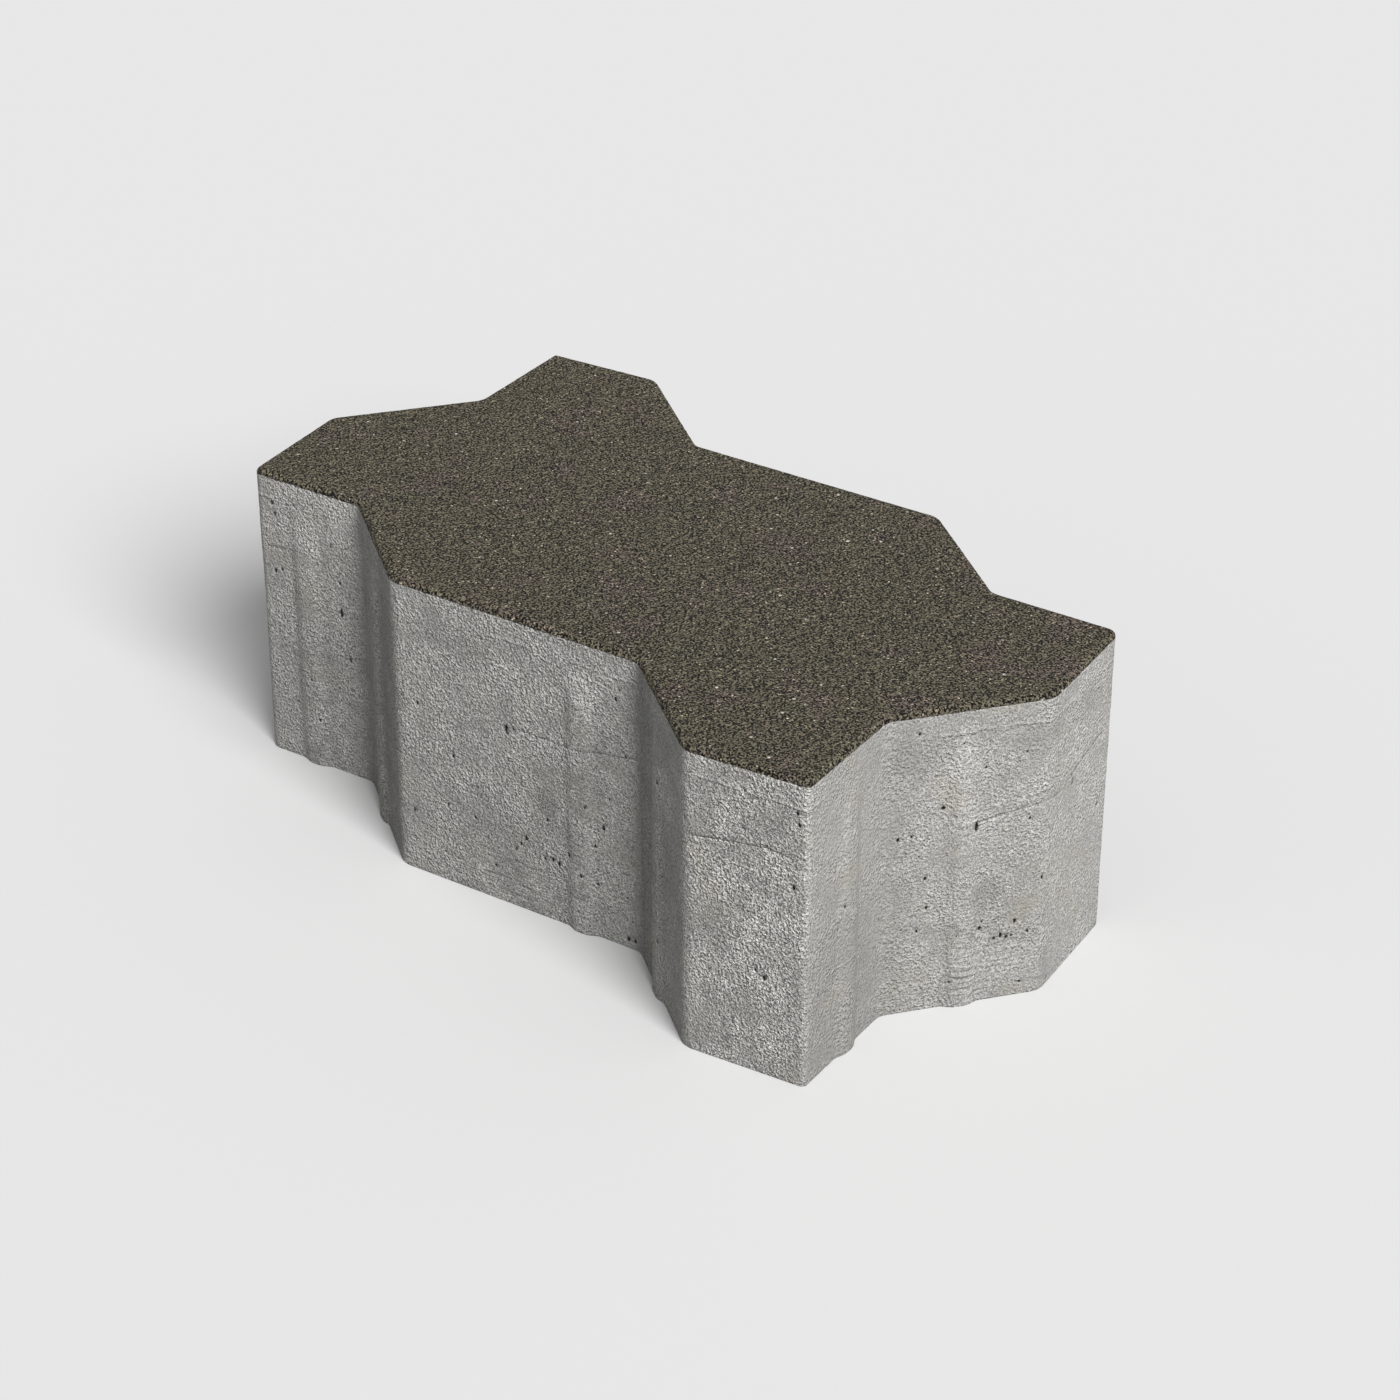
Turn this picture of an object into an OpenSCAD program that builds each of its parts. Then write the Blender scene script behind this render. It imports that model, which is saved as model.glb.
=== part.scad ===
// Interlocking concrete paving stone.
// One cast block: a zigzag outline of two units by one, upright walls with rounded edges,
// spacer ribs that keep the joint to the next stone open, and a narrow bevel round the top face.

/* [Block] */
// Height of the stone
height = 80; // [60:1:120]
// Width and depth of the bevel round the top face
bevel = 1; // [0.4:0.1:1.5]

/* [Zigzag outline] */
// Length of the flat that leads from a sharp corner to the first inner bend
first_flat = 32.7; // [30:0.1:45]
// Length of each slanted face
slant = 38.9; // [32:0.1:50]
// Angle between a slanted face and the flats
slant_angle = 41.3; // [30:0.1:50]
// Length of the middle flat on a long side
middle_flat = 69.7; // [55:0.1:90]
// Length of the last flat on a long side
last_flat = 31.4; // [25:0.1:45]
// Length of the last flat on an end
end_flat = 33.3; // [25:0.1:45]
// Angle by which a last flat splays outward to its sharp corner
corner_splay = 2.8; // [0:0.1:6]

/* [Upright edges] */
// Radius of the four sharp corners
corner_r = 2.5; // [2:0.1:6]
// Radius of the outer bends
outer_bend_r = 5.5; // [2:0.1:10]
// Radius of the inner bends
inner_bend_r = 4; // [2:0.1:10]

/* [Spacer ribs] */
// Width of a rib at the wall
rib_w = 9.6; // [6:0.1:12]
// How far a rib stands out of the wall
rib_proud = 1.25; // [0.8:0.05:2.5]
// Height of bare wall between the top face and the ribs
rib_drop = 7; // [4:0.5:20]
// Height over which the top of a rib slopes back into the wall
rib_slope = 4.5; // [2:0.5:15]
// Distance of the ribs on a long side from their inner bend
long_rib_gap = 16.7; // [14:0.1:22]
// Distance of the rib on an end's first flat from its inner bend
end_flat_rib_gap = 14.5; // [14:0.1:22]
// Distance of the rib on an end's slanted face from its inner bend
end_slant_rib_gap = 18.9; // [14:0.1:22]

/* [Hidden] */
$fn = 96;

// Overrun of a cutting shape past the faces that it cuts
over = 0.5;
// Added to the radius of a rounding, so that it crosses its walls instead of just touching them
blend = 0.02;
// Turn from a long side to an end
side_turn = 90;
// Half of the closed outline, counter-clockwise from one sharp corner to the opposite one.
// Each wall: length, heading, radius of the edge where it starts, place of its rib along it.
// The other half is the same walls after a half turn about the middle of the stone.
no_rib = 0;
walls = [
    [first_flat, 0, corner_r, first_flat - long_rib_gap],
    [slant, -slant_angle, inner_bend_r, long_rib_gap],
    [middle_flat, 0, outer_bend_r, middle_flat - long_rib_gap],
    [slant, -slant_angle, inner_bend_r, long_rib_gap],
    [last_flat, corner_splay, outer_bend_r, no_rib],
    [first_flat, side_turn, corner_r, first_flat - end_flat_rib_gap],
    [slant, side_turn - slant_angle, inner_bend_r, end_slant_rib_gap],
    [end_flat, side_turn + corner_splay, outer_bend_r, no_rib]
];
long_side_walls = 5;
count = len(walls);

function wall_length(i) = walls[i % count][0];
function heading(i) = walls[i % count][1] + 180 * floor(i / count);
function edge_r(i) = walls[i % count][2];
function rib_place(i) = walls[i][3];

function direction(angle) = [cos(angle), sin(angle)];
function step(i) = wall_length(i) * direction(heading(i));

// Start of every wall of the half outline, counted from the first sharp corner, and its end
path = [for (i = 0, p = [0, 0]; i <= count; p = p + step(i), i = i + 1) p];
middle = path[count] / 2;
// Heading of a line between the two sharp corners of a long side
long_side_heading = atan2(path[long_side_walls].y, path[long_side_walls].x);

function corner(i) = (path[i % count] - middle) * (i < count ? 1 : -1);
outline = [for (i = [0 : 2 * count - 1]) corner(i)];

// Bend of the outline at the start of wall i: positive at outer edges, negative at inner ones
function before(i) = i == 0 ? 2 * count - 1 : i - 1;
function bend(i) = ((heading(i) - heading(before(i)) + 540) % 360) - 180;
// Length of wall that the rounding takes away on each side of the edge
function setback(i) = edge_r(i) * tan(abs(bend(i)) / 2);
// Outward heading halfway between the two walls that meet at the start of wall i
function outward(i) = heading(before(i)) + bend(i) / 2 - 90;

// Path of the bevel: place, bend and outward heading of each of its bends.
// It follows the walls, and cuts each outer edge short where it touches the middle of the rounding.
function cut_short(i) = (edge_r(i) / cos(bend(i) / 2) - edge_r(i)) / sin(bend(i) / 2);
function stops_at(i) = bend(i) < 0
    ? [[corner(i), bend(i), outward(i)]]
    : [
        [corner(i) - cut_short(i) * direction(heading(before(i))), bend(i) / 2, outward(i) - bend(i) / 4],
        [corner(i) + cut_short(i) * direction(heading(i)), bend(i) / 2, outward(i) + bend(i) / 4]
    ];
bevel_path = [for (i = [0 : 2 * count - 1]) each stops_at(i)];

// Circular section of a rib, and the depth of its axis behind the wall
rib_r = (rib_w * rib_w / 4 + rib_proud * rib_proud) / (2 * rib_proud);
rib_axis_depth = rib_r - rib_proud;
rib_straight = height - rib_drop - rib_slope;

// Wedge between a sharp edge and its rounding, with the edge at the origin and the wall before it along X.
// Its point is the middle of the rounding, and it ends past the edge.
module edge_wedge(i) {
    side = sign(bend(i));
    centre = [-setback(i), side * edge_r(i)];
    half_bend = bend(i) / 2;
    far = (edge_r(i) / cos(half_bend) + over) / cos(half_bend);
    to_wall = -90 * side;
    translate(centre) difference() {
        polygon([[0, 0], far * direction(to_wall), far * direction(to_wall + bend(i))]);
        circle(r = edge_r(i) + blend);
    }
}

// Places children at the start of wall i, turned to the wall before it
module at_edge(i) {
    translate(corner(i)) rotate(heading(before(i))) children();
}

module plan() {
    edges = [0 : 2 * count - 1];
    difference() {
        union() {
            polygon(outline);
            for (i = edges) if (bend(i) < 0) at_edge(i) edge_wedge(i);
        }
        for (i = edges) if (bend(i) > 0) at_edge(i) edge_wedge(i);
    }
}

// Ring that the bevel cuts away: a triangular section led along the bevel path, mitred at every bend
module bevel_ring() {
    section = [[over, over], [-bevel - over, over], [over, -bevel - over]];
    sides = len(section);
    stops = len(bevel_path);
    points = [for (stop = bevel_path) for (p = section)
        concat(stop[0] + p.x / cos(stop[1] / 2) * direction(stop[2]), height + p.y)];
    faces = [for (k = [0 : stops - 1]) for (n = [0 : sides - 1])
        let (here = k * sides, next = (k + 1) % stops * sides, m = (n + 1) % sides)
            [here + n, here + m, next + m, next + n]];
    polyhedron(points, faces);
}

// Half-round rib on wall i, sunk in the wall as deep as it stands out, with a sloping top
module rib(i) {
    translate(corner(i)) rotate(heading(i)) translate([rib_place(i), 0, 0])
        intersection() {
            translate([0, rib_axis_depth, 0]) {
                cylinder(r = rib_r, h = rib_straight);
                translate([0, 0, rib_straight])
                    cylinder(r1 = rib_r, r2 = rib_r - 2 * rib_proud, h = 2 * rib_slope);
            }
            translate([-rib_r, -rib_proud - over, 0])
                cube([2 * rib_r, 2 * rib_proud + over, height]);
        }
}

// The stone, with the line between the sharp corners of a long side along X
module paving_stone() {
    color([0.62, 0.62, 0.6]) rotate(-long_side_heading) {
        difference() {
            linear_extrude(height) plan();
            bevel_ring();
        }
        for (turn = [0, 180]) rotate(turn) for (i = [0 : count - 1])
            if (rib_place(i) != no_rib) rib(i);
    }
}

paving_stone();
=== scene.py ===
import math

import bpy
import numpy as np
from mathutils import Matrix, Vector, noise
from mathutils.geometry import delaunay_2d_cdt


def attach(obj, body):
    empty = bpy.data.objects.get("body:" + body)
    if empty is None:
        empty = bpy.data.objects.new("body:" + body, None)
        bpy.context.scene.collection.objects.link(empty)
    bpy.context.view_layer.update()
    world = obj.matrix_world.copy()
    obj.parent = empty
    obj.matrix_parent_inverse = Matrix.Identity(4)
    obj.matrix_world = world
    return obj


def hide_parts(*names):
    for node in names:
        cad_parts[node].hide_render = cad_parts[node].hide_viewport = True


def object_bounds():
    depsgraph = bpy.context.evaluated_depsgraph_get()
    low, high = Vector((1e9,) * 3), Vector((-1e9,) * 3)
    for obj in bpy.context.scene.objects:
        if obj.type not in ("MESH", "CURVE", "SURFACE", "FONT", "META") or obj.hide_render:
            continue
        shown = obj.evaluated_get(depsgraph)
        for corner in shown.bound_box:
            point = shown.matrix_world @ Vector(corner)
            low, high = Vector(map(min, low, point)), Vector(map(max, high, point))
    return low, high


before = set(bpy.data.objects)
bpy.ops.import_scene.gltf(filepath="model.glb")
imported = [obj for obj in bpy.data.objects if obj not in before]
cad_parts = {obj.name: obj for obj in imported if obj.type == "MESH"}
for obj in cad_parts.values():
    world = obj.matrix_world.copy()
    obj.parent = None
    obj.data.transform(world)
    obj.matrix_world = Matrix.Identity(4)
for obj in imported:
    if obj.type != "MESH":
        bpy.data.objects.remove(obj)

MM = 0.001
NODE = "paving_stone"

cad_low, cad_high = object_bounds()
HEIGHT = (cad_high.z - cad_low.z) / MM

# Zigzag outline, as in the part's source. The corner that ends a long side is sharper here,
# as in the photo.
FIRST_FLAT = 32.7
SLANT = 38.9
SLANT_ANGLE = 41.3
MIDDLE_FLAT = 69.7
LAST_FLAT = 31.4
END_FLAT = 33.3
CORNER_SPLAY = 2.8
SIDE_TURN = 90
FIRST_CORNER_R = 2.5
LAST_CORNER_R = 1.5
OUTER_BEND_R = 5.5
INNER_BEND_R = 4.0
LONG_SIDE_WALLS = 5
ARC_POINTS = 48

# Spacer ribs, as in the part's source, with a worn section: a flat crest and soft feet
RIB_W = 9.6
RIB_CREST = 2.4
RIB_PROUD = 1.25
RIB_DROP = 7.0
# Height over which a rib fades out at its top, the share by which it gets lower towards there,
# and the height at which that starts
RIB_FADE = 14.0
RIB_TAPER = 0.3
RIB_TAPER_START = 10
# Walls with a thin line of painted shade along the first foot of the rib, and painted light on the flank
# beside it
PAINTED_FOOT_SHADE_WALLS = ("front_first", "front_middle", "back_first", "back_middle")
# Strength, place and reach of the painted shade past an inner bend, of the painted shade along a rib's
# foot, and of the painted light on the flank next to that foot
BEND_PAINTED_SHADE = (0.6, 2.5, 4.0)
FOOT_PAINTED_SHADE = (0.6, 0.6, 0.55)
FLANK_PAINTED_LIGHT = (-0.6, 2.4, 1.1)
# Distances of the rows of points on both flanks of a rib from its middle, and the bare margin beside them
RIB_ROWS = (4.7, 4.0, 3.3, 2.6, 1.9)
RIB_MARGIN = 0.4

# Half of the outline, counter-clockwise from the front left corner, named by the wall's place:
# length, heading, radius of the edge where the wall starts, place of its rib in the photo
HALF_OUTLINE = {
    "front_first": (FIRST_FLAT, 0, FIRST_CORNER_R, 15.4),
    "front_slant": (SLANT, -SLANT_ANGLE, INNER_BEND_R, 16.9),
    "front_middle": (MIDDLE_FLAT, 0, OUTER_BEND_R, 53.7),
    "front_next_slant": (SLANT, -SLANT_ANGLE, INNER_BEND_R, 17.4),
    "front_last": (LAST_FLAT, CORNER_SPLAY, OUTER_BEND_R, None),
    "end_first": (FIRST_FLAT, SIDE_TURN, LAST_CORNER_R, 17.8),
    "end_slant": (SLANT, SIDE_TURN - SLANT_ANGLE, INNER_BEND_R, 19.0),
    "end_last": (END_FLAT, SIDE_TURN + CORNER_SPLAY, OUTER_BEND_R, None),
}
# The same walls after a half turn, which the photo doesn't show
HIDDEN_WALLS = [
    "back_first", "back_slant", "back_middle", "back_next_slant", "back_last",
    "far_end_first", "far_end_slant", "far_end_last",
]

# Mesh spacing
WALL_SPACING = 1.0
TOP_SPACING = 1.2
EDGE_SPACING = 0.6
BOTTOM_SPACING = 3.5
JITTER = 0.22

# Worn top edge: inset and drop of each row of points, from the wall up to the face
TOP_EDGE = [(0.0, 1.25), (0.12, 0.85), (0.45, 0.42), (0.88, 0.1), (1.3, 0.0)]
TOP_EDGE_ROUGHNESS = 0.15
# Blunt bottom edge
BOTTOM_EDGE = 0.2

# Relief of the walls and the face: width of its lumps, and how deep they go
WALL_RELIEF = [(2.3, 0.17), (6.0, 0.12), (24.0, 0.2)]
FACE_RELIEF = [(1.9, 0.13), (7.0, 0.07)]
# Seeds of the noise that shapes each surface
HAIRLINE_SEED = 3
WALL_SEED = 11
EDGE_SEED = 21
FACE_SEED = 31
BED_SEED = 41

# Pits that show in the photo: wall, distance along it, height, width, tallness
PITS = [
    ("front_first", 5.2, 52.6, 0.8, 1.3),
    ("front_first", 7.3, 53.6, 0.5, 1.2),
    ("front_first", 5.4, 71.8, 0.8, 1.1),
    ("front_first", 6.2, 69.0, 0.7, 1.2),
    ("front_first", 17.5, 13.6, 0.6, 0.9),
    ("front_first", 23.6, 24.5, 0.6, 0.9),
    ("front_first", 25.6, 46.6, 1.0, 2.5),
    ("front_first", 25.6, 55.1, 0.7, 1.0),
    ("front_first", 27.6, 33.8, 0.8, 1.5),
    ("front_middle", 4.2, 16.9, 0.6, 1.2),
    ("front_middle", 6.5, 47.6, 0.8, 1.1),
    ("front_middle", 14.5, 21.8, 0.6, 0.9),
    ("front_middle", 16.6, 36.2, 0.7, 1.2),
    ("front_middle", 22.5, 21.0, 0.7, 0.9),
    ("front_middle", 28.2, 9.5, 0.6, 0.8),
    ("front_middle", 32.4, 48.8, 1.0, 2.6),
    ("front_middle", 34.6, 49.6, 0.7, 1.0),
    ("front_middle", 34.5, 16.4, 0.6, 0.9),
    ("front_middle", 35.9, 18.3, 0.7, 1.0),
    ("front_middle", 37.4, 20.3, 0.9, 1.4),
    ("front_middle", 42.8, 16.6, 0.6, 0.9),
    ("front_middle", 45.1, 17.1, 0.8, 1.2),
    ("front_middle", 46.8, 16.4, 0.9, 1.3),
    ("front_middle", 50.0, 20.3, 0.8, 1.5),
    ("front_middle", 53.9, 16.2, 0.9, 1.2),
    ("front_middle", 57.9, 14.8, 0.6, 0.8),
    ("front_middle", 59.8, 31.0, 0.9, 1.6),
    ("front_middle", 63.7, 67.1, 0.7, 1.2),
    ("front_middle", 66.3, 52.5, 0.7, 1.0),
    ("front_middle", 66.5, 2.4, 1.0, 1.4),
    ("front_middle", 68.4, 2.4, 0.7, 1.2),
    ("front_next_slant", 19.3, 58.8, 0.7, 1.4),
    ("front_next_slant", 19.5, 16.0, 0.6, 1.0),
    ("front_last", 18.5, 27.4, 0.7, 1.0),
    ("front_last", 20.6, 26.0, 1.0, 1.5),
    ("front_last", 27.7, 52.2, 0.9, 1.2),
    ("front_last", 28.4, 71.4, 0.8, 1.1),
    ("front_last", 28.9, 68.6, 0.8, 1.1),
    ("end_slant", 3.1, 47.4, 0.7, 0.9),
    ("end_slant", 6.3, 47.8, 0.6, 0.7),
    ("end_slant", 7.4, 74.3, 0.7, 0.8),
    ("end_slant", 8.3, 22.0, 0.6, 0.9),
    ("end_slant", 9.8, 36.1, 0.8, 1.1),
    ("end_slant", 10.4, 28.1, 0.7, 1.0),
    ("end_slant", 13.6, 54.1, 1.1, 1.1),
    ("end_slant", 16.4, 7.0, 0.6, 0.6),
    ("end_slant", 21.4, 48.3, 1.0, 2.7),
    ("end_slant", 23.4, 20.2, 0.8, 1.2),
    ("end_slant", 23.8, 21.9, 0.5, 0.6),
    ("end_slant", 27.0, 16.7, 0.7, 0.9),
    ("end_slant", 28.6, 17.3, 0.8, 1.5),
    ("end_slant", 30.0, 16.6, 0.8, 1.1),
    ("end_slant", 31.2, 16.8, 0.5, 0.7),
    ("end_slant", 31.9, 20.6, 0.8, 1.3),
    ("end_slant", 32.8, 65.7, 0.5, 0.6),
    ("end_slant", 33.8, 3.5, 0.7, 0.8),
    ("end_slant", 34.3, 48.1, 0.6, 0.9),
    ("end_slant", 35.1, 17.4, 0.7, 0.9),
    ("end_slant", 38.2, 31.4, 0.7, 1.2),
    ("end_last", 3.9, 1.6, 0.7, 1.2),
    ("end_last", 12.4, 50.5, 0.8, 1.9),
    ("end_last", 14.7, 57.8, 0.7, 1.2),
    ("end_last", 17.8, 16.4, 0.6, 0.8),
    ("end_last", 27.1, 36.3, 0.7, 1.1),
]
# Depth of a pit in widths, and its rings of points: share of its radius, number of points
PIT_DEPTH = 1.3
PIT_RINGS = [(0.0, 1), (0.6, 6), (0.86, 9), (1.06, 10)]
# Share of its radius within which a pit is sunk and carries painted shade, how uneven its rim is, the rim's
# width, and the least distance between strewn pits
PIT_FLOOR = 0.9
PIT_LOBES = (0.04, 0.14)
PIT_RIM = 0.35
PIT_GAP = 2.5
# Pits strewn over the outline: how many, where they start as a share of it, and the range of their width
STREWN_PITS = [(120, 0.0, (0.3, 0.6)), (55, 0.5, (0.6, 1.0))]
# Least distance of strewn pits from the ground and from the top, and the range of their tallness in widths
STREWN_ABOVE = 2
STREWN_BELOW = 4
STREWN_TALLNESS = (1.0, 1.8)

# Hairlines in the walls: strength, then wall, distance along it and height of each bend
HAIRLINES = [
    (1.0, [
        ("end_slant", 22.5, 49.1), ("end_slant", 28.4, 50.3), ("end_slant", 34.5, 51.1),
        ("end_last", 0.1, 51.9), ("end_last", 7.6, 51.3), ("end_last", 17.3, 54.1),
        ("end_last", 28.4, 55.8),
    ]),
    (0.8, [
        ("front_middle", 33.4, 49.8), ("front_middle", 38.2, 49.9), ("front_middle", 48.1, 49.6),
        ("front_middle", 59.9, 51.4), ("front_middle", 66.6, 52.3), ("front_next_slant", 2.4, 53.2),
    ]),
    (1.7, [
        ("front_last", 1.0, 57.3), ("front_last", 11.0, 59.0), ("front_last", 21.2, 60.3),
        ("front_last", 29.1, 59.1),
    ]),
    (1.2, [("front_first", 2.9, 59.3), ("front_first", 10.2, 59.8)]),
    (0.8, [("back_middle", 9.0, 31.0), ("back_middle", 17.0, 30.2), ("back_middle", 26.5, 31.6)]),
    (0.8, [("far_end_slant", 4.0, 62.0), ("far_end_slant", 12.0, 60.9), ("far_end_slant", 19.5, 61.6)]),
]
# Distance of the points along a hairline, its half width and the bare strip beside it, its depth and wobble
HAIRLINE_STEP = 0.6
HAIRLINE_HALF_WIDTH = 0.22
HAIRLINE_CLEARING = 0.55
HAIRLINE_DEPTH = 0.18
HAIRLINE_WOBBLE = 0.2

# Tones that differ from place to place, with painted light beside two inner bends and painted shade on the
# slants after them:
# wall, distance along it, height, reach along it, reach up and down, change of lightness
TONES_AND_PAINTED_SHADING = [
    ("front_middle", 43.5, 33.0, 5.0, 5.0, -0.2),
    ("front_middle", 23.0, 30.0, 3.0, 3.0, -0.1),
    ("end_slant", 25.5, 30.4, 4.5, 4.5, -0.15),
    # Painted light beside the first inner bend, and painted shade on the slant after it, which turns away
    # from the key light
    ("front_first", 28.0, 35.0, 9.0, 75.0, 0.16),
    ("front_slant", 12.0, 25.0, 22.0, 80.0, -0.17),
    ("front_slant", 31.0, 40.0, 12.0, 90.0, -0.23),
    ("front_middle", 36.0, 6.0, 34.0, 16.0, -0.06),
    ("front_middle", 18.0, 68.5, 15.0, 7.0, -0.09),
    # Painted light beside the next inner bend, and painted shade on the slant after it
    ("front_middle", 64.5, 25.0, 9.0, 55.0, 0.22),
    ("front_next_slant", 7.0, 40.0, 9.0, 90.0, -0.22),
    ("front_next_slant", 22.0, 38.0, 15.0, 12.0, -0.1),
    ("front_next_slant", 24.0, 57.0, 13.0, 9.0, 0.1),
    ("front_next_slant", 22.0, 13.0, 14.0, 11.0, 0.09),
    ("front_last", 16.0, 40.0, 24.0, 90.0, 0.14),
    ("end_first", 14.0, 0.0, 26.0, 60.0, -0.12),
    ("end_slant", 27.0, 6.0, 19.0, 34.0, -0.08),
    ("end_slant", 8.0, 68.5, 10.0, 7.0, -0.14),
    ("end_slant", 36.0, 69.0, 9.0, 6.0, -0.1),
    ("end_last", 17.0, 40.0, 24.0, 90.0, 0.16),
    ("end_last", 16.0, 69.0, 20.0, 7.0, -0.12),
    ("back_middle", 20.0, 52.0, 6.0, 5.0, -0.14),
    ("far_end_last", 14.0, 27.0, 5.0, 5.0, -0.12),
]
# Stretches of wall with stronger fine grain and stronger painted shade and light on the stipple, in the
# same form
GRAIN_AND_SHADING_CONTRAST = [
    ("front_first", 16.0, 40.0, 22.0, 90.0, 0.6),
    ("front_slant", 20.0, 40.0, 26.0, 90.0, 0.5),
    ("front_middle", 35.0, 40.0, 50.0, 90.0, 0.65),
    ("front_next_slant", 20.0, 40.0, 24.0, 90.0, 0.5),
    ("front_last", 16.0, 40.0, 24.0, 90.0, 1.0),
    ("end_slant", 21.0, 40.0, 26.0, 90.0, 0.35),
    ("end_last", 17.0, 40.0, 24.0, 90.0, 0.35),
    ("back_middle", 35.0, 40.0, 50.0, 90.0, 0.5),
    ("back_last", 16.0, 40.0, 24.0, 90.0, 0.6),
    ("far_end_slant", 20.0, 40.0, 26.0, 90.0, 0.4),
]
# Broken ridge round the walls, from the seam of the mould: its height, how far it wanders, its half width
SEAM_HEIGHT = 72.9
SEAM_WANDER = 1.2
SEAM_REACH = 0.7
# Stretches of wall with a skin that is wrinkled from being pushed out of its mould, in the same form
WRINKLED = [
    ("front_middle", 34.0, 6.0, 24.0, 12.0, 1.0),
    ("front_middle", 53.7, 34.0, 4.5, 50.0, 1.0),
    ("end_slant", 26.0, 8.0, 17.0, 13.0, 1.0),
    ("end_slant", 19.0, 34.0, 4.5, 50.0, 0.8),
    ("back_middle", 30.0, 7.0, 24.0, 12.0, 1.0),
    ("back_middle", 53.7, 34.0, 4.5, 50.0, 0.8),
]

# Camera, with the place it looks at
CAMERA_AZIMUTH = 47.73
CAMERA_ELEVATION = 30.66
CAMERA_DISTANCE = 874.0
CAMERA_TARGET = (8.275, 2.547, 40.0)
CAMERA_LENS = 93.16

# Key light, a sun: where it comes from, how wide it looks in degrees, and its level.
# It stands so many metres off, which changes nothing in its light.
KEY_AZIMUTH = 74.0
KEY_ELEVATION = 39.0
KEY_SPREAD = 30.0
KEY_LEVEL = 1.08
KEY_DISTANCE = 3.0
# Light from all round, how bright the backdrop and the floor look, how much light the floor sends back,
# and the floor's size in metres
SKY_LEVEL = 0.32
BACKDROP = 0.8
FLOOR_SHOWN = 0.8
FLOOR_BOUNCE = 0.22
FLOOR_SIZE = 12.0

# Colours
WALL_GREY = (0.45, 0.443, 0.423)
OCHRE = (0.45, 0.41, 0.32)
# Painted shade in the pits, pinholes and hairlines
PAINTED_CAVITY_SHADE = (0.02, 0.02, 0.019)
FACE_BROWN = (0.0895, 0.0788, 0.0553)
FACE_MAUVE = (0.098, 0.075, 0.066)
SPECK = (0.6, 0.57, 0.5)
# Depths at which the face's colour starts and is full, and how far that line wanders
FACE_STARTS = 1.5
FACE_FULL = 1.35
FACE_WANDER = 0.25
# Depth of the stipple, and how matt the surface is
STIPPLE_DEPTH = 0.42
ROUGHNESS = (0.86, 0.98)
SPECULAR = 0.25

rng = np.random.default_rng(7)


def direction(angle):
    """Unit vector in plan for an angle in degrees."""
    return np.array([math.cos(math.radians(angle)), math.sin(math.radians(angle))])


def noise_field(points, size, seed):
    """Smooth noise from -1 to 1 at each point, with lumps about as wide as size."""
    shift = Vector((17.3, 5.1, 9.7)) * seed
    return np.array([noise.noise(Vector(p) / size + shift) for p in points])


def smooth_step(value, low, high):
    """0 below low, 1 above high, with a soft change between."""
    t = np.clip((value - low) / (high - low), 0, 1)
    return t * t * (3 - 2 * t)


class Outline:
    """The rounded outline, counter-clockwise. A place on it is a distance from its start."""

    def __init__(self):
        half = list(HALF_OUTLINE.values())
        walls = [(length, heading + turn, r, rib) for turn in (0, 180) for length, heading, r, rib in half]
        count = len(walls)
        steps = [length * direction(heading) for length, heading, _, _ in walls]
        corners = np.cumsum([np.zeros(2)] + steps, axis=0)[:count]
        corners -= corners.mean(axis=0)
        long_side = corners[LONG_SIDE_WALLS] - corners[0]
        tilt = math.degrees(math.atan2(long_side[1], long_side[0]))
        across = direction(-tilt)
        corners = corners @ np.array([[across[0], across[1]], [-across[1], across[0]]])
        headings = [heading - tilt for _, heading, _, _ in walls]
        bends = [(headings[i] - headings[i - 1] + 540) % 360 - 180 for i in range(count)]
        setbacks = [walls[i][2] * math.tan(math.radians(abs(bends[i]) / 2)) for i in range(count)]

        places, angles, starts = [], [], []
        angle = headings[0]
        for i in range(count):
            nxt = (i + 1) % count
            along = direction(headings[i])
            end = corners[nxt] - setbacks[nxt] * along
            starts.append((len(places), setbacks[i]))
            places += [corners[i] + setbacks[i] * along, end]
            angles += [angle, angle]
            side = math.copysign(walls[nxt][2], bends[nxt])
            centre = end + side * direction(angle + 90)
            for part in np.linspace(0, 1, ARC_POINTS)[1:-1]:
                heading = angle + bends[nxt] * part
                places.append(centre - side * direction(heading + 90))
                angles.append(heading)
            angle += bends[nxt]
        places.append(places[0])
        angles.append(angle)

        self.places = np.array(places)
        self.angles = np.array(angles)
        steps = np.linalg.norm(np.diff(self.places, axis=0), axis=1)
        self.distance = np.concatenate([[0], np.cumsum(steps)])
        self.length = self.distance[-1]
        self.wall_start = [self.distance[first] - setback for first, setback in starts]
        self.inner_bends = [self.wall_start[i] for i in range(count) if bends[i] < 0]
        self.names = [*HALF_OUTLINE, *HIDDEN_WALLS]
        ribs = {self.names[i]: self.wall_start[i] + walls[i][3] for i in range(count) if walls[i][3]}
        self.ribs = list(ribs.values())
        self.painted_foot_shade_ribs = [ribs[wall] for wall in PAINTED_FOOT_SHADE_WALLS]

    def at(self, s):
        """Place and outward direction in plan at distances s."""
        s = np.mod(s, self.length)
        x = np.interp(s, self.distance, self.places[:, 0])
        y = np.interp(s, self.distance, self.places[:, 1])
        angle = np.radians(np.interp(s, self.distance, self.angles))
        return np.stack([x, y], 1), np.stack([np.sin(angle), -np.cos(angle)], 1)

    def between(self, s, place):
        """Signed distance along the outline from a place to s, the short way round."""
        return np.mod(s - place + self.length / 2, self.length) - self.length / 2

    def on(self, wall, along):
        """The place that lies so far along a named wall."""
        return self.wall_start[self.names.index(wall)] + along


outline = Outline()


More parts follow.
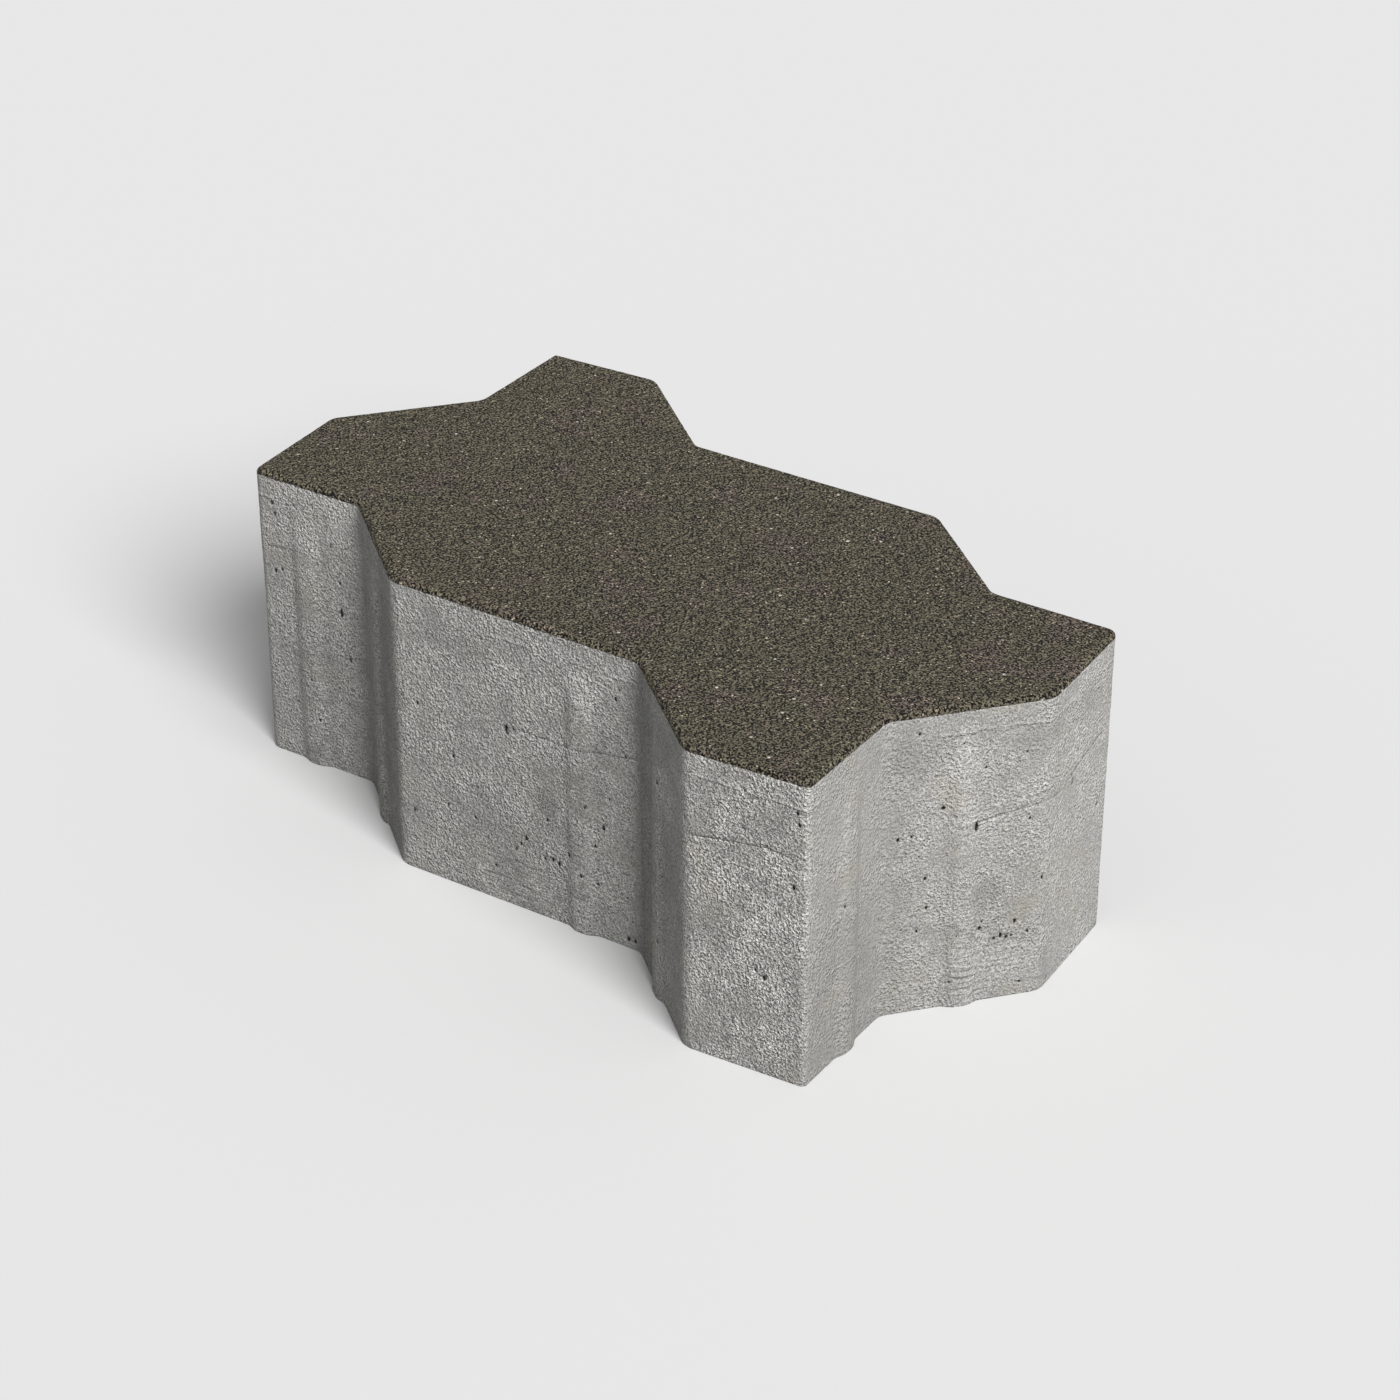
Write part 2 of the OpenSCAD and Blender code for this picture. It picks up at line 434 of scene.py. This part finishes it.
def rib_rise(s, z):
    """How far the ribs stand out of the wall, with soft feet."""
    rise = np.zeros(len(s))
    for rib in outline.ribs:
        away = np.abs(outline.between(s, rib))
        rise += RIB_PROUD * smooth_step(-away, -RIB_W / 2, -RIB_CREST / 2)
    below = HEIGHT - RIB_DROP - z
    taper = 1 - RIB_TAPER * smooth_step(z, RIB_TAPER_START, HEIGHT)
    return rise * taper * smooth_step(below, 0, RIB_FADE)


def pit_list():
    """Every pit as place, height, half width, half tallness: those in the photo, and strewn ones."""
    pits = [(outline.on(wall, along), z, width / 2, tall / 2) for wall, along, z, width, tall in PITS]
    for number, start, widths in STREWN_PITS:
        wanted = len(pits) + number
        while len(pits) < wanted:
            s = rng.uniform(start, 1) * outline.length
            z = rng.uniform(STREWN_ABOVE, HEIGHT - STREWN_BELOW)
            width = rng.uniform(*widths)
            tall = width * rng.uniform(*STREWN_TALLNESS)
            clear = all(math.hypot(outline.between(s, p[0]), z - p[1]) > PIT_GAP for p in pits)
            if clear:
                pits.append((s, z, width / 2, tall / 2))
    return pits


def hairline_course(strength, bends):
    """Points along a hairline, and how open it is at each."""
    along = [outline.on(wall, place) for wall, place, _ in bends]
    steps = np.arange(along[0], along[-1], HAIRLINE_STEP)
    places = np.stack([steps, np.interp(steps, along, [z for _, _, z in bends])], 1)
    flat = np.column_stack([places, np.zeros(len(places))])
    wobble = noise_field(flat, 2.2, HAIRLINE_SEED) + noise_field(flat, 6.0, HAIRLINE_SEED + 1)
    places[:, 1] += HAIRLINE_WOBBLE * wobble
    ends = smooth_step(np.minimum(steps - steps[0], steps[-1] - steps), -0.5, 2.5)
    gaps = 0.6 + 0.4 * smooth_step(noise_field(flat, 7.0, HAIRLINE_SEED + 2), -0.2, 0.3)
    return places, strength * ends * gaps


def hex_grid(low, high, spacing):
    """Points of a jittered triangular grid that fills a box in plan."""
    row_step = spacing * math.sqrt(3) / 2
    rows = max(1, round((high[1] - low[1]) / row_step))
    columns = max(1, round((high[0] - low[0]) / spacing))
    step = ((high[0] - low[0]) / columns, (high[1] - low[1]) / rows)
    grid = []
    for r in range(1, rows):
        shift = 0.25 if r % 2 else 0.75
        x = low[0] + step[0] * (np.arange(columns) + shift)
        grid.append(np.stack([x, np.full(columns, low[1] + r * step[1])], 1))
    grid = np.concatenate(grid)
    return grid + rng.uniform(-JITTER, JITTER, grid.shape) * spacing


def with_rib_rows(grid, low):
    """The grid of the unrolled wall, with upright rows of points instead on the flanks of the ribs."""
    top = HEIGHT - RIB_DROP
    nearest = RIB_ROWS[-1] - RIB_MARGIN
    farthest = RIB_ROWS[0] + RIB_MARGIN
    kept = [grid]
    for rib in outline.ribs:
        away = np.abs(outline.between(kept[0][:, 0], rib))
        on_flank = (away > nearest) & (away < farthest) & (kept[0][:, 1] < top)
        kept[0] = kept[0][~on_flank]
        for k, distance in enumerate(RIB_ROWS):
            for side in (-1, 1):
                z = np.arange(low + (0.5 if k % 2 else 1.0) * WALL_SPACING, top, WALL_SPACING)
                z += rng.uniform(-JITTER, JITTER, len(z)) * WALL_SPACING
                kept.append(np.stack([np.full(len(z), rib + side * distance), z], 1))
    return np.concatenate(kept)


def triangulate(points, ring=None):
    """Triangles between points in plan. With a ring, the indices of a closed border, those inside it."""
    vectors = [Vector(p) for p in points]
    faces = [] if ring is None else [list(ring)]
    found = delaunay_2d_cdt(vectors, [], faces, 0 if ring is None else 1, 1e-6)
    source = [ids[0] for ids in found[3]]
    return [[source[i] for i in face] for face in found[2]]


def inside(points, ring):
    """Which points lie inside a closed ring in plan."""
    result = np.zeros(len(points), bool)
    for a, b in zip(ring, np.roll(ring, -1, axis=0)):
        crosses = (a[1] > points[:, 1]) != (b[1] > points[:, 1])
        rise = b[1] - a[1] if b[1] != a[1] else 1e-12
        result ^= crosses & (points[:, 0] < a[0] + (points[:, 1] - a[1]) * (b[0] - a[0]) / rise)
    return result


class StoneMesh:
    """Collects the points, marks and faces of the stone."""

    def __init__(self):
        self.points = []
        self.marks = {"pore": [], "crack": [], "recess": [], "tone": [], "coarse": [], "wrinkle": []}
        self.faces = []
        self.count = 0

    def add(self, points, **marks):
        """Adds points with their marks and returns their indices."""
        first = self.count
        self.count += len(points)
        self.points.append(np.asarray(points, float))
        for name, values in self.marks.items():
            values.append(np.broadcast_to(marks.get(name, 0.0), len(points)))
        return np.arange(first, self.count)

    def build(self, name):
        """A Blender object of all that was collected, in metres."""
        data = bpy.data.meshes.new(name)
        data.from_pydata((np.concatenate(self.points) * MM).tolist(), [], self.faces)
        for mark, values in self.marks.items():
            layer = data.attributes.new(mark, "FLOAT", "POINT")
            layer.data.foreach_set("value", np.concatenate(values).astype(np.float32))
        data.validate()
        data.shade_smooth()
        made = bpy.data.objects.new(name, data)
        bpy.context.scene.collection.objects.link(made)
        return made


def relief(points, layers, seed):
    """Depth below the surface, from 0 to the sum of the layers' depths."""
    lumps = [noise_field(points, size, seed + k) for k, (size, _) in enumerate(layers)]
    return sum(depth * 0.5 * (1 + lump) for (_, depth), lump in zip(layers, lumps))


def wall_grid(pits, courses):
    """Grid of places on the unrolled wall, left bare where pits and hairlines come."""
    low = BOTTOM_EDGE
    high = HEIGHT - TOP_EDGE[0][1]
    grid = with_rib_rows(hex_grid((0, low), (outline.length, high), WALL_SPACING), low)
    keep = np.ones(len(grid), bool)
    for s, z, a, b in pits:
        aside = outline.between(grid[:, 0], s) / (a + PIT_RIM)
        above = (grid[:, 1] - z) / (b + PIT_RIM)
        keep &= aside ** 2 + above ** 2 > 1
    for course, _ in courses:
        for s, z in course:
            near = np.abs(outline.between(grid[:, 0], s)) < HAIRLINE_STEP
            keep &= ~(near & (np.abs(grid[:, 1] - z) < HAIRLINE_CLEARING))
    return grid[keep]


def pit_rows(s, z, a, b):
    """Rings of places in and round a pit of half width a and half tallness b, with their marks."""
    lobes = rng.uniform(*PIT_LOBES)
    turned = rng.uniform(0, 2 * np.pi)
    rows = []
    for share, number in PIT_RINGS:
        number = round(number * (0.7 + 0.3 * b / a)) if share else 1
        angle = 2 * np.pi * (np.arange(number) + rng.uniform()) / number
        wobble = 1 + lobes * np.cos(3 * angle + turned)
        aside = a * share * wobble * np.cos(angle)
        above = b * share * wobble * np.sin(angle)
        ring = np.stack([s + aside, z + above], 1)
        sunk = 2 * a * PIT_DEPTH * (1 - share ** 2)
        rows.append((ring, sunk, 1.0, 0.0) if share < PIT_FLOOR else (ring, 0.0, 0.0, 0.0))
    return rows


def hairline_rows(course, openness):
    """Three rows of places along a hairline, with their marks. The middle one is sunk and carries painted
    shade.
    """
    beside = (0, HAIRLINE_HALF_WIDTH)
    return [
        (course - beside, 0.0, 0.0, 0.0),
        (course, HAIRLINE_DEPTH * openness, 0.0, np.minimum(openness, 1.0)),
        (course + beside, 0.0, 0.0, 0.0),
    ]


def wall_places():
    """Places on the unrolled wall, as distance and height, with how deep each is sunk,
    and its marks of pores and hairlines."""
    pits = pit_list()
    courses = [hairline_course(strength, bends) for strength, bends in HAIRLINES]
    rows = [(wall_grid(pits, courses), 0.0, 0.0, 0.0)]
    for pit in pits:
        rows += pit_rows(*pit)
    for course, openness in courses:
        rows += hairline_rows(course, openness)
    places = np.concatenate([row[0] for row in rows])
    places[:, 0] = np.mod(places[:, 0], outline.length)
    sunk, pore, crack = (
        np.concatenate([np.broadcast_to(row[k], len(row[0])) for row in rows]) for k in (1, 2, 3)
    )
    return places, sunk, pore, crack


def stripe_mark(away, stripe):
    """Strength of an upright stripe of painted shade at a distance, fading on both sides of its middle;
    painted light where the strength is below zero.
    """
    strength, middle, reach = stripe
    return strength * np.exp(-((away - middle) / reach) ** 2)


def painted_shading_mark(s, z):
    """Painted shade beside the inner bends, and in a thin line along the first foot of some ribs.
    Below zero for painted light on the flank next to that foot."""
    mark = np.zeros(len(s))
    for bend in outline.inner_bends:
        mark += stripe_mark(outline.between(s, bend), BEND_PAINTED_SHADE)
    below_top = smooth_step(HEIGHT - RIB_DROP - z, 0.0, 6.0)
    for rib in outline.painted_foot_shade_ribs:
        foot = outline.between(s, rib) + RIB_W / 2
        mark += below_top * (stripe_mark(foot, FOOT_PAINTED_SHADE) + stripe_mark(foot, FLANK_PAINTED_LIGHT))
    return mark


def patch_mark(s, z, patches):
    """Sum of the changes of several patches of wall, each soft at its rim."""
    mark = np.zeros(len(s))
    for wall, along, height, reach_along, reach_up, change in patches:
        aside = outline.between(s, outline.on(wall, along)) / reach_along
        away = np.hypot(aside, (z - height) / reach_up)
        mark += change * smooth_step(-away, -1.0, -0.4)
    return mark


def on_wall(s, z, sunk):
    """Points in space for places on the unrolled wall."""
    place, out = outline.at(s)
    flat = np.column_stack([place, z])
    offset = rib_rise(s, z) - sunk - relief(flat, WALL_RELIEF, WALL_SEED)
    return np.column_stack([place + out * offset[:, None], z])


def band(lower, upper):
    """Faces of a closed band between two rows of as many points."""
    nxt_lower = np.roll(lower, -1)
    nxt_upper = np.roll(upper, -1)
    return np.stack([lower, nxt_lower, nxt_upper, upper], 1).tolist()


def ring_places(spacing):
    """Places all along the outline, about so far apart. The last is the first again."""
    count = round(outline.length / spacing)
    return np.arange(count + 1) * outline.length / count


def add_wall(mesh, top_s, low_s):
    """The wall all round, triangulated as if unrolled. Returns its top and bottom rows of points."""
    low = BOTTOM_EDGE
    high = HEIGHT - TOP_EDGE[0][1]
    seam_count = round((high - low) / WALL_SPACING)
    seam_z = low + np.arange(1, seam_count) * (high - low) / seam_count
    inner, sunk, pore, crack = wall_places()
    parts = [
        inner,
        np.stack([top_s, np.full(len(top_s), high)], 1),
        np.stack([low_s, np.full(len(low_s), low)], 1),
        np.stack([np.zeros(len(seam_z)), seam_z], 1),
        np.stack([np.full(len(seam_z), outline.length), seam_z], 1),
    ]
    flat = np.concatenate(parts)
    first = np.cumsum([0] + [len(p) for p in parts])
    faces = triangulate(flat)

    # The right end of the unrolled wall is the left end again
    weld = np.arange(len(flat))
    weld[first[2] - 1] = first[1]
    weld[first[3] - 1] = first[2]
    weld[first[4]:first[5]] = np.arange(first[3], first[4])
    kept = np.flatnonzero(weld == np.arange(len(flat)))
    s, z = flat[kept].T
    rest = len(flat) - len(inner)
    sunk, pore, crack = (np.concatenate([v, np.zeros(rest)])[kept] for v in (sunk, pore, crack))
    ids = np.zeros(len(flat), int)
    ids[kept] = mesh.add(
        on_wall(s, z, sunk),
        pore=pore,
        crack=crack,
        recess=painted_shading_mark(s, z),
        tone=patch_mark(s, z, TONES_AND_PAINTED_SHADING),
        coarse=patch_mark(s, z, GRAIN_AND_SHADING_CONTRAST),
        wrinkle=patch_mark(s, z, WRINKLED),
    )
    mesh.faces += [[int(ids[weld[i]]) for i in face] for face in faces]
    return ids[first[1]:first[2] - 1], ids[first[2]:first[3] - 1]


def add_top_edge(mesh, row, s):
    """The worn top edge, up from a row of points on the wall. Returns its last row, and where that lies."""
    place, out = outline.at(s)
    for inset, drop in TOP_EDGE[1:]:
        ring = np.column_stack([place - out * inset, np.full(len(place), HEIGHT - drop)])
        worn = TOP_EDGE_ROUGHNESS * (1 + noise_field(ring, 0.9, EDGE_SEED))
        rough = worn + relief(ring, WALL_RELIEF, WALL_SEED) * 0.6
        share = inset / TOP_EDGE[-1][0]
        ring[:, :2] -= out * (rough * (1 - share))[:, None]
        ring[:, 2] -= relief(ring, FACE_RELIEF, FACE_SEED) * share
        next_row = mesh.add(ring)
        mesh.faces += band(row, next_row)
        row = next_row
    return row, ring[:, :2]


def add_wearing_face(mesh, row, ring, s):
    """The face inside the top edge's last row of points."""
    place, out = outline.at(s)
    grid = hex_grid(ring.min(axis=0), ring.max(axis=0), TOP_SPACING)
    grid = grid[inside(grid, place - out * (TOP_EDGE[-1][0] + 0.5 * TOP_SPACING))]
    face = np.column_stack([grid, np.full(len(grid), HEIGHT)])
    face[:, 2] -= relief(face, FACE_RELIEF, FACE_SEED)
    ids = np.concatenate([row, mesh.add(face)])
    triangles = triangulate(np.concatenate([ring, grid]), range(len(ring)))
    mesh.faces += [[int(ids[i]) for i in t] for t in triangles]


def add_bedding_face(mesh, wall_row, s):
    """The blunt bottom edge and the face under the stone."""
    place, out = outline.at(s)
    inset = 1.5 * BOTTOM_EDGE
    rise = rib_rise(s, np.zeros(len(s)))
    ring = place + out * (rise - inset)[:, None]
    row = mesh.add(np.column_stack([ring, np.zeros(len(ring))]))
    mesh.faces += band(row, wall_row)
    grid = hex_grid(ring.min(axis=0), ring.max(axis=0), BOTTOM_SPACING)
    grid = grid[inside(grid, place - out * (inset + 0.4 * BOTTOM_SPACING))]
    face = np.column_stack([grid, np.zeros(len(grid))])
    face[:, 2] += relief(face, FACE_RELIEF, BED_SEED)
    ids = np.concatenate([row, mesh.add(face)])
    triangles = triangulate(np.concatenate([ring, grid]), range(len(ring)))
    mesh.faces += [[int(ids[i]) for i in t[::-1]] for t in triangles]


def build_stone():
    """The whole block as one closed mesh."""
    mesh = StoneMesh()
    top_s = ring_places(EDGE_SPACING)
    low_s = ring_places(WALL_SPACING)
    top_row, low_row = add_wall(mesh, top_s, low_s)
    edge_row, ring = add_top_edge(mesh, top_row, top_s[:-1])
    add_wearing_face(mesh, edge_row, ring, top_s[:-1])
    add_bedding_face(mesh, low_row, low_s[:-1])
    return mesh.build("paving_stone_cast")


class Nodes:
    """Short calls for building a material."""

    def __init__(self, name):
        self.material = bpy.data.materials.new(name)
        self.material.use_nodes = True
        self.tree = self.material.node_tree
        self.shader = self.tree.nodes["Principled BSDF"]
        coordinates = self.tree.nodes.new("ShaderNodeTexCoord")
        self.place = coordinates.outputs["Object"]

    def link(self, value, socket):
        """Sets a socket to a number or colour, or links it to another node's output."""
        if isinstance(value, bpy.types.NodeSocket):
            self.tree.links.new(value, socket)
        else:
            socket.default_value = value

    def attribute(self, name):
        """A mark of the mesh, by its name."""
        node = self.tree.nodes.new("ShaderNodeAttribute")
        node.attribute_name = name
        return node.outputs["Fac"]

    def height(self):
        """Height above the ground, in metres."""
        node = self.tree.nodes.new("ShaderNodeSeparateXYZ")
        self.link(self.place, node.inputs[0])
        return node.outputs["Z"]

    def flattened(self, times):
        """Coordinates in which whatever is drawn gets so many times as wide as high."""
        node = self.tree.nodes.new("ShaderNodeVectorMath")
        node.operation = "MULTIPLY"
        self.link(self.place, node.inputs[0])
        node.inputs[1].default_value = (1 / times, 1 / times, 1)
        return node.outputs[0]

    def noise(self, size, detail=2.0, place=None):
        """Noise from 0 to 1 whose lumps are about size millimetres wide."""
        node = self.tree.nodes.new("ShaderNodeTexNoise")
        self.link(place or self.place, node.inputs["Vector"])
        node.inputs["Scale"].default_value = 1 / (size * MM)
        node.inputs["Detail"].default_value = detail
        return node.outputs["Fac"]

    def cells(self, size):
        """Distance in millimetres to the nearest of scattered points, and that point's random colour."""
        node = self.tree.nodes.new("ShaderNodeTexVoronoi")
        self.link(self.place, node.inputs["Vector"])
        node.inputs["Scale"].default_value = 1 / (size * MM)
        return self.math("MULTIPLY", node.outputs["Distance"], size), node.outputs["Color"]

    def math(self, operation, a, b=0.0):
        """A sum, product or the like of two numbers."""
        node = self.tree.nodes.new("ShaderNodeMath")
        node.operation = operation
        self.link(a, node.inputs[0])
        self.link(b, node.inputs[1])
        return node.outputs[0]

    def fit(self, value, low, high, to_low=0.0, to_high=1.0, soft=False):
        """Maps low..high of a value to to_low..to_high, and stops there."""
        node = self.tree.nodes.new("ShaderNodeMapRange")
        node.interpolation_type = "SMOOTHSTEP" if soft else "LINEAR"
        for socket, number in zip(node.inputs[:5], (value, low, high, to_low, to_high)):
            self.link(number, socket)
        return node.outputs[0]

    def mix(self, share, a, b):
        """Colour a, changed to b by a share."""
        node = self.tree.nodes.new("ShaderNodeMix")
        node.data_type = "RGBA"
        self.link(share, node.inputs[0])
        for socket, colour in zip(node.inputs[6:8], (a, b)):
            self.link(colour if isinstance(colour, bpy.types.NodeSocket) else (*colour, 1), socket)
        return node.outputs[2]

    def scale(self, colour, factor):
        """A colour times a number."""
        node = self.tree.nodes.new("ShaderNodeVectorMath")
        node.operation = "SCALE"
        self.link(colour, node.inputs[0])
        self.link(factor, node.inputs["Scale"])
        return node.outputs[0]

    def bump(self, height, depth):
        """A normal from a height of 0 to 1 that stands for depth millimetres."""
        node = self.tree.nodes.new("ShaderNodeBump")
        node.inputs["Distance"].default_value = depth * MM
        self.link(height, node.inputs["Height"])
        return node.outputs[0]


def seam_ridge(n):
    """Share of the seam's ridge in the walls: 1 on it, 0 beside it and less where it is broken."""
    wander = n.fit(n.noise(9.0), 0, 1, -SEAM_WANDER * MM, SEAM_WANDER * MM)
    above = n.math("SUBTRACT", n.math("ADD", n.height(), wander), SEAM_HEIGHT * MM)
    near = n.fit(n.math("ABSOLUTE", above), 0.0, SEAM_REACH * MM, 1.0, 0.0, soft=True)
    return n.math("MULTIPLY", near, n.fit(n.noise(13.0), 0.4, 0.55, 0.2, 1.0))


def wall_colour(n, stipple, ridge):
    """Light grey cast concrete, mottled, with faint stains, painted shade in the recesses, pits and
    hairlines, and painted light and shade on some stretches of wall.
    """
    # Mottling, and marks that differ from place to place
    light = n.fit(n.noise(9.0, 3), 0.3, 0.7, 0.93, 1.06)
    light = n.math("MULTIPLY", light, n.fit(n.noise(1.6, 2), 0.3, 0.7, 0.93, 1.07))
    light = n.math("MULTIPLY", light, n.fit(n.height(), 0, 60 * MM, 0.95, 1.015))
    light = n.math("MULTIPLY", light, n.fit(ridge, 0, 1, 1.0, 1.06))
    # Painted shade beside the inner bends and along some rib feet, and painted light on the flank beside
    # them
    light = n.math("MULTIPLY", light, n.fit(n.attribute("recess"), -1, 1, 1.2, 0.8))
    # Tone that differs from place to place, with painted light and painted shade on some walls
    light = n.math("MULTIPLY", light, n.math("ADD", n.attribute("tone"), 1.0))

    # Fine grain, and painted shade in the hollows of the stipple and painted light on its crests, all
    # stronger where that mark is set
    coarse = n.attribute("coarse")
    darkest = n.fit(coarse, 0, 1, 0.72, 0.3)
    lightest = n.fit(coarse, 0, 1, 1.28, 1.7)
    grain = n.fit(n.noise(0.35, 1), 0.3, 0.7, darkest, lightest)
    hollow = n.fit(coarse, 0, 1, 0.88, 0.66)
    crest = n.fit(coarse, 0, 1, 1.08, 1.26)
    shade = n.fit(stipple, 0.1, 0.9, hollow, crest)
    light = n.math("MULTIPLY", light, n.math("MULTIPLY", grain, shade))
    colour = n.scale(WALL_GREY, light)

    # Stains, and painted shade in pinholes, hairlines and pores
    stain = n.math("MULTIPLY", n.fit(n.noise(10.0, 3), 0.5, 0.75, soft=True), 0.24)
    colour = n.mix(stain, colour, OCHRE)
    away, _ = n.cells(2.6)
    pinhole = n.math("MULTIPLY", n.fit(away, 0.14, 0.3, 0.75, 0.0), n.fit(n.noise(3.0), 0.5, 0.56))
    colour = n.mix(pinhole, colour, PAINTED_CAVITY_SHADE)
    colour = n.mix(n.math("MULTIPLY", n.attribute("crack"), 0.75), colour, PAINTED_CAVITY_SHADE)
    return n.mix(n.attribute("pore"), colour, PAINTED_CAVITY_SHADE)


def face_colour(n):
    """Dark grey-brown wearing face of fine grains, with pale specks and faint mauve patches."""
    mauve = n.math("MULTIPLY", n.fit(n.noise(12.0, 2), 0.53, 0.68, soft=True), 0.55)
    colour = n.mix(mauve, FACE_BROWN, FACE_MAUVE)

    # Fine grain, with darker and lighter dots that are weaker in some patches
    light = n.fit(n.noise(0.5, 1), 0.44, 0.56, 0.0, 2.0)
    away, tone = n.cells(1.0)
    dot = n.math("MULTIPLY", n.fit(away, 0.22, 0.32, 1.0, 0.0), n.fit(tone, 0.2, 0.95, -0.95, 3.0))
    dot = n.math("MULTIPLY", dot, n.fit(n.noise(6.0), 0.4, 0.6, 0.5, 1.2))
    light = n.math("MULTIPLY", light, n.math("ADD", dot, 1.0))
    colour = n.scale(colour, light)

    # Pale specks of several sizes, on the lighter of the scattered points
    away, tone = n.cells(3.0)
    size = n.fit(tone, 0.62, 0.95, 0.1, 0.52)
    speck = n.fit(n.math("SUBTRACT", away, size), -0.08, 0.02, 1.0, 0.0)
    return n.mix(n.math("MULTIPLY", speck, n.fit(tone, 0.62, 0.63)), colour, SPECK)


def concrete_material():
    """One material for the whole casting: grey walls that turn into the dark face at the top edge."""
    n = Nodes("cast_concrete")
    wander = n.fit(n.noise(0.8), 0, 1, -FACE_WANDER * MM, FACE_WANDER * MM)
    edge = n.math("ADD", n.height(), wander)
    face = n.fit(edge, (HEIGHT - FACE_STARTS) * MM, (HEIGHT - FACE_FULL) * MM)

    # Stipple of the walls, deeper in some patches
    ridge = seam_ridge(n)
    stipple = n.fit(n.noise(0.7, 1.2), 0.28, 0.72)
    stipple = n.math("MULTIPLY", stipple, n.fit(n.noise(9.0, 2), 0.35, 0.62, 0.45, 1.2))
    n.link(n.mix(face, wall_colour(n, stipple, ridge), face_colour(n)), n.shader.inputs["Base Color"])

    # Bump: the stipple, or wrinkles, with the seam's ridge, and on the face its grain
    wrinkles = n.fit(n.noise(1.0, 1.5, place=n.flattened(6.0)), 0.3, 0.7)
    wrinkled = n.math("MULTIPLY", n.attribute("wrinkle"), n.fit(n.noise(12.0), 0.4, 0.55, 0.15, 0.65))
    skin = n.fit(wrinkled, 0, 1, stipple, wrinkles)
    skin = n.math("ADD", skin, n.math("MULTIPLY", ridge, 0.6))
    grain = n.fit(n.noise(1.2, 1.5), 0.28, 0.72, 0.0, 2.0)
    n.link(n.bump(n.fit(face, 0, 1, skin, grain), STIPPLE_DEPTH), n.shader.inputs["Normal"])
    n.link(n.fit(n.noise(1.2), 0.3, 0.7, *ROUGHNESS), n.shader.inputs["Roughness"])
    n.shader.inputs["Specular IOR Level"].default_value = SPECULAR
    return n.material


def floor_material():
    """Pale, even floor that sends only a darker floor's light back to the stone, as in a dim studio."""
    n = Nodes("studio_floor")
    path = n.tree.nodes.new("ShaderNodeLightPath")
    shown = n.math("MAXIMUM", path.outputs["Is Camera Ray"], path.outputs["Is Glossy Ray"])
    shown = n.math("MAXIMUM", shown, path.outputs["Is Transmission Ray"])
    n.link(n.mix(shown, (FLOOR_BOUNCE,) * 3, (FLOOR_SHOWN,) * 3), n.shader.inputs["Base Color"])
    n.shader.inputs["Roughness"].default_value = 1.0
    n.shader.inputs["Specular IOR Level"].default_value = 0.0
    return n.material


def add_floor():
    """The studio's floor."""
    half = FLOOR_SIZE / 2
    data = bpy.data.meshes.new("studio_floor")
    corners = [(-half, -half, 0), (half, -half, 0), (half, half, 0), (-half, half, 0)]
    data.from_pydata(corners, [], [(0, 1, 2, 3)])
    floor = bpy.data.objects.new("studio_floor", data)
    floor.data.materials.append(floor_material())
    bpy.context.scene.collection.objects.link(floor)


def aim(thing, target, azimuth, elevation, distance):
    """Places a camera or lamp at a distance from a target, pointed there. Azimuth 0 looks along +Y."""
    a = math.radians(azimuth)
    e = math.radians(elevation)
    back = Vector((math.sin(a) * math.cos(e), -math.cos(a) * math.cos(e), math.sin(e)))
    thing.location = Vector(target) + back * distance
    thing.rotation_euler = back.to_track_quat("Z", "Y").to_euler()
    bpy.context.scene.collection.objects.link(thing)


def add_camera():
    """The camera, at the photo's angle."""
    camera = bpy.data.objects.new("camera", bpy.data.cameras.new("camera"))
    camera.data.lens = CAMERA_LENS
    camera.data.clip_start = 0.01
    aim(camera, Vector(CAMERA_TARGET) * MM, CAMERA_AZIMUTH, CAMERA_ELEVATION, CAMERA_DISTANCE * MM)
    bpy.context.scene.camera = camera


def add_lights():
    """One soft key light, and even light from all round, with a pale backdrop for the camera."""
    lamp = bpy.data.lights.new("key", "SUN")
    lamp.angle = math.radians(KEY_SPREAD)
    lamp.energy = KEY_LEVEL * math.pi
    key = bpy.data.objects.new("key", lamp)
    aim(key, (0, 0, 0.5 * HEIGHT * MM), KEY_AZIMUTH, KEY_ELEVATION, KEY_DISTANCE)

    world = bpy.data.worlds.new("studio")
    bpy.context.scene.world = world
    world.use_nodes = True
    tree = world.node_tree
    path = tree.nodes.new("ShaderNodeLightPath")
    shown = tree.nodes.new("ShaderNodeMapRange")
    shown.inputs["To Min"].default_value = SKY_LEVEL
    shown.inputs["To Max"].default_value = BACKDROP
    seen = path.outputs["Is Camera Ray"]
    for ray in ("Is Glossy Ray", "Is Transmission Ray"):
        either = tree.nodes.new("ShaderNodeMath")
        either.operation = "MAXIMUM"
        tree.links.new(seen, either.inputs[0])
        tree.links.new(path.outputs[ray], either.inputs[1])
        seen = either.outputs[0]
    tree.links.new(seen, shown.inputs["Value"])
    tree.links.new(shown.outputs[0], tree.nodes["Background"].inputs["Strength"])
    tree.nodes["Background"].inputs["Color"].default_value = (1, 1, 1, 1)


bpy.context.scene.view_settings.view_transform = "Standard"
stone = build_stone()
stone.data.materials.append(concrete_material())
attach(stone, "root")
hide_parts(NODE)
add_floor()
add_camera()
add_lights()
